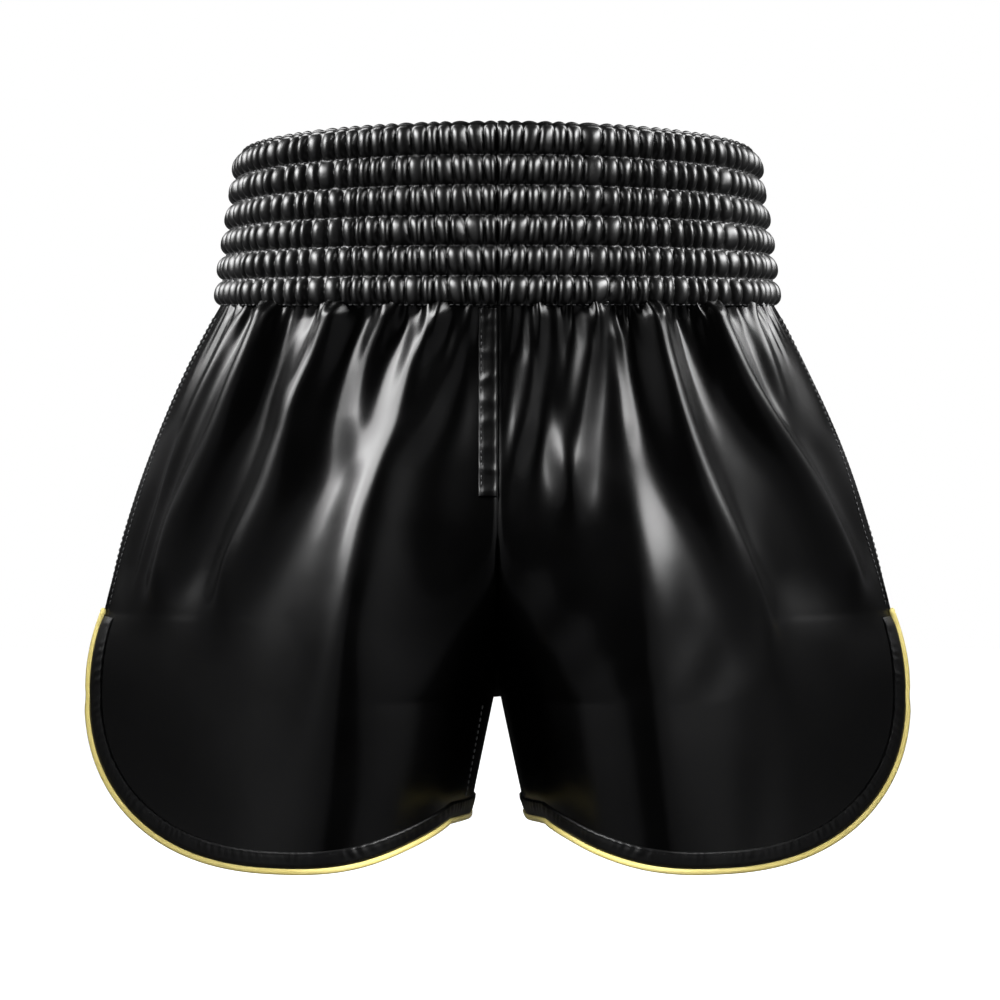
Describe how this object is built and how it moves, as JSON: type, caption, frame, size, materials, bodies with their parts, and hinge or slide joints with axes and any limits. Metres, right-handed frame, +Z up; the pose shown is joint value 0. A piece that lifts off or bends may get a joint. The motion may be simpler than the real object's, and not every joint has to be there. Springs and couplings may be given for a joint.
{
  "type": "boxing shorts",
  "caption": "Black satin boxing shorts with a gathered elastic waistband, side slits with rounded corners and yellow piping along the edge.",
  "frame": {"origin": "centre of the waist opening, level with the rim of the waistband", "axes": "+X to the right as seen from the front, +Y to the back (the front faces -Y), +Z up out of the waist opening; left and right in node names are as seen from the front"},
  "size_m": [0.4186, 0.259, 0.3734],
  "materials": {
    "body_satin": "black polyester satin, glossy",
    "waistband_satin": "black polyester satin, gathered",
    "waistband_lining_satin": "black satin, inner layer",
    "facing_satin": "black satin, topstitched",
    "gusset_satin": "black satin",
    "edge_band_satin": "black satin, topstitched",
    "woven_elastic": "woven elastic tape",
    "black_thread": "polyester thread",
    "yellow_piping": "bright yellow satin piping"
  },
  "bodies": {
    "shorts": {"waistband_casing_left": "waistband_satin", "waistband_casing_right": "waistband_satin", "waistband_lining_left": "waistband_lining_satin", "waistband_lining_right": "waistband_lining_satin", "elastic_band_1": "woven_elastic", "elastic_band_2": "woven_elastic", "elastic_band_3": "woven_elastic", "elastic_band_4": "woven_elastic", "elastic_band_5": "woven_elastic", "elastic_band_6": "woven_elastic", "waistband_stitching": "black_thread", "front_left_panel": "body_satin", "front_right_panel": "body_satin", "back_left_panel": "body_satin", "back_right_panel": "body_satin", "centre_front_facing": "facing_satin", "crotch_gusset": "gusset_satin", "front_left_hem_band": "edge_band_satin", "front_right_hem_band": "edge_band_satin", "back_left_hem_band": "edge_band_satin", "back_right_hem_band": "edge_band_satin", "front_left_hem_piping": "yellow_piping", "front_right_hem_piping": "yellow_piping", "back_left_hem_piping": "yellow_piping", "back_right_hem_piping": "yellow_piping"},
    "front_left_flap": {"front_left_corner": "body_satin", "front_left_corner_band": "edge_band_satin", "front_left_corner_piping": "yellow_piping"},
    "front_right_flap": {"front_right_corner": "body_satin", "front_right_corner_band": "edge_band_satin", "front_right_corner_piping": "yellow_piping"},
    "back_left_flap": {"back_left_corner": "body_satin", "back_left_corner_band": "edge_band_satin", "back_left_corner_piping": "yellow_piping"},
    "back_right_flap": {"back_right_corner": "body_satin", "back_right_corner_band": "edge_band_satin", "back_right_corner_piping": "yellow_piping"}
  },
  "joints": [
    {"name": "front_left_corner_fold", "type": "hinge", "parent": "shorts", "child": "front_left_flap", "pos_m": [-0.17837, -0.0471, -0.30773], "axis": [-0.3002, 0.5047, 0.8094], "range_deg": [0, 60]},
    {"name": "front_right_corner_fold", "type": "hinge", "parent": "shorts", "child": "front_right_flap", "pos_m": [0.17837, -0.0471, -0.30773], "axis": [-0.3002, -0.5047, -0.8094], "range_deg": [0, 60]},
    {"name": "back_left_corner_fold", "type": "hinge", "parent": "shorts", "child": "back_left_flap", "pos_m": [-0.17934, 0.0484, -0.3074], "axis": [0.2877, 0.5187, -0.8051], "range_deg": [0, 60]},
    {"name": "back_right_corner_fold", "type": "hinge", "parent": "shorts", "child": "back_right_flap", "pos_m": [0.17934, 0.0484, -0.3074], "axis": [0.2877, -0.5187, 0.8051], "range_deg": [0, 60]}
  ]
}
